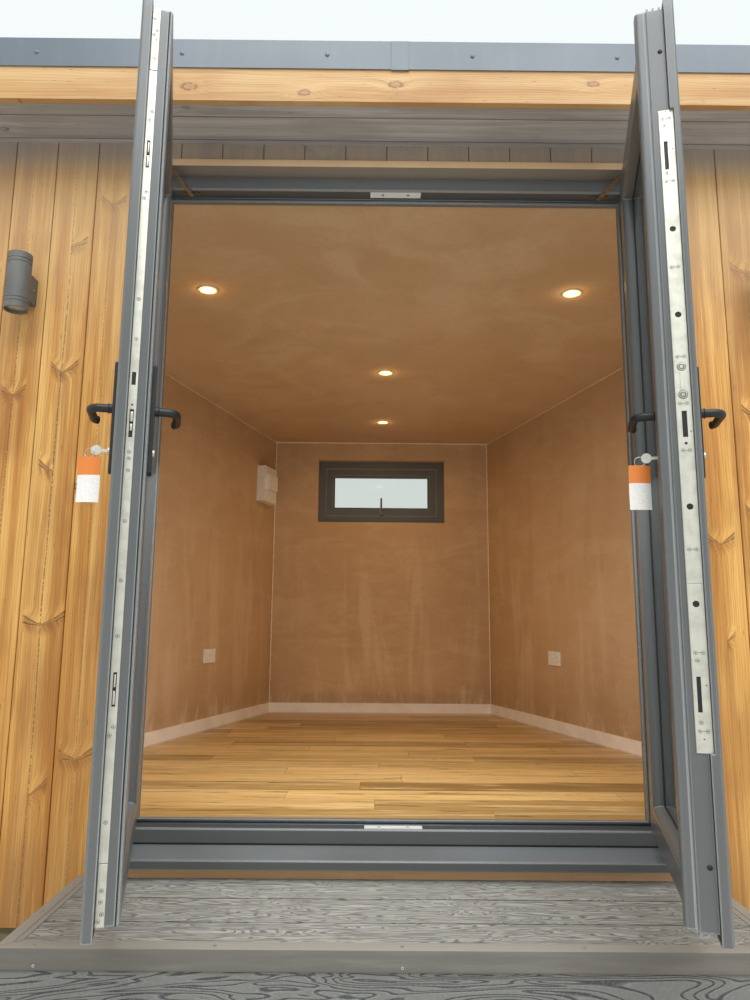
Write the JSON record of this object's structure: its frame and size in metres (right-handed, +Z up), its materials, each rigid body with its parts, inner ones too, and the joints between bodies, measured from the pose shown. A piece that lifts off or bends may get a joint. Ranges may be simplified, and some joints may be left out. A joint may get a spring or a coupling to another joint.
{
  "type": "garden office pod",
  "caption": "Flat-roofed timber garden office on a plan that narrows to the back, with glazed double doors that open outward over a low deck step, and a high rear window.",
  "frame": {"origin": "on the ground, on the centre line, halfway between the front and back cladding", "axes": "+Z up, the doors face -Y, +X to the right seen from the front"},
  "size_m": [4.1654, 4.5118, 2.605],
  "materials": {
    "base_timber": "treated softwood",
    "laminate": "satin oak laminate",
    "plaster": "bare skim plaster",
    "cladding": "oiled softwood boards",
    "roof_timber": "sheathed roof panel",
    "membrane": "matt roofing membrane",
    "roof_metal": "satin anthracite",
    "fascia_timber": "planed softwood",
    "soffit_timber": "oiled softwood boards",
    "anthracite": "satin foiled window profile",
    "silver": "zinc plated",
    "arm_steel": "passivated",
    "black": "satin black",
    "clear_glass": "clear",
    "skirting_paint": "primed",
    "white_plastic": "gloss",
    "downlight": "white",
    "charcoal": "fine textured",
    "composite": "embossed wood grain",
    "composite_edge": "smooth"
  },
  "bodies": {
    "pod": {"base_bearers": "base_timber", "floor_frame": "base_timber", "step_frame": "base_timber", "laminate_floor": "laminate", "front_wall_left": "plaster", "front_wall_right": "plaster", "front_wall_over_door": "plaster", "left_wall": "plaster", "right_wall": "plaster", "back_wall": "plaster", "ceiling": "plaster", "front_cladding": "cladding", "left_cladding": "cladding", "right_cladding": "cladding", "back_cladding": "cladding", "door_reveal": "cladding", "roof_panel": "roof_timber", "roof_covering": "membrane", "roof_trim": "roof_metal", "fascia": "fascia_timber", "soffit": "soffit_timber", "door_frame_left": "anthracite", "door_frame_right": "anthracite", "door_frame_head": "anthracite", "door_frame_sill": "anthracite", "door_cill": "anthracite", "window_frame": "anthracite", "window_sash": "anthracite", "door_frame_fittings": "silver", "window_glass": "clear_glass", "skirting": "skirting_paint", "electrical_fittings": "white_plastic", "downlights": "downlight", "wall_lights": "charcoal", "step_boards": "composite", "step_risers": "composite", "step_edging": "composite_edge"},
    "left_leaf": {"left_leaf_frame": "anthracite", "left_leaf_glass": "clear_glass", "left_leaf_beads": "anthracite", "left_leaf_fittings": "silver", "left_handle_plates": "black", "left_key": "silver"},
    "right_leaf": {"right_leaf_frame": "anthracite", "right_leaf_glass": "clear_glass", "right_leaf_beads": "anthracite", "right_leaf_fittings": "silver", "right_meeting_stile": "anthracite", "right_handle_plates": "black", "right_key": "silver"},
    "left_lever": {"left_lever": "black"},
    "right_lever": {"right_lever": "black"},
    "left_arm": {"left_restrictor_arm": "arm_steel"},
    "right_arm": {"right_restrictor_arm": "arm_steel"}
  },
  "joints": [
    {"name": "left_leaf_hinge", "type": "hinge", "parent": "pod", "child": "left_leaf", "pos_m": [-0.786, -1.8215, 1.289], "axis": [0, 0, -1], "range_deg": [-75.2, 8]},
    {"name": "right_leaf_hinge", "type": "hinge", "parent": "pod", "child": "right_leaf", "pos_m": [0.786, -1.8215, 1.289], "axis": [0, 0, 1], "range_deg": [-75.8, 8]},
    {"name": "left_lever_turn", "type": "hinge", "parent": "left_leaf", "child": "left_lever", "pos_m": [-0.58917, -2.52144, 1.324], "axis": [-0.9668, -0.2554, 0], "range_deg": [0, 40], "stiffness_Nm_per_rad": 1, "springref_deg": -20.05},
    {"name": "right_lever_turn", "type": "hinge", "parent": "right_leaf", "child": "right_lever", "pos_m": [0.59651, -2.52347, 1.324], "axis": [-0.9694, 0.2453, 0], "range_deg": [0, 40], "stiffness_Nm_per_rad": 1, "springref_deg": -20.05},
    {"name": "left_arm_turn", "type": "hinge", "parent": "pod", "child": "left_arm", "pos_m": [-0.674, -1.783, 2.275], "axis": [0, 0, -1], "range_deg": [-102.36, 10.98]},
    {"name": "right_arm_turn", "type": "hinge", "parent": "pod", "child": "right_arm", "pos_m": [0.674, -1.783, 2.275], "axis": [0, 0, 1], "range_deg": [-102.93, 10.95]}
  ],
  "couplings": [
    {"joint": "left_arm_turn", "follows": "left_leaf_hinge", "ratio": 1.3599},
    {"joint": "right_arm_turn", "follows": "right_leaf_hinge", "ratio": 1.3566}
  ]
}
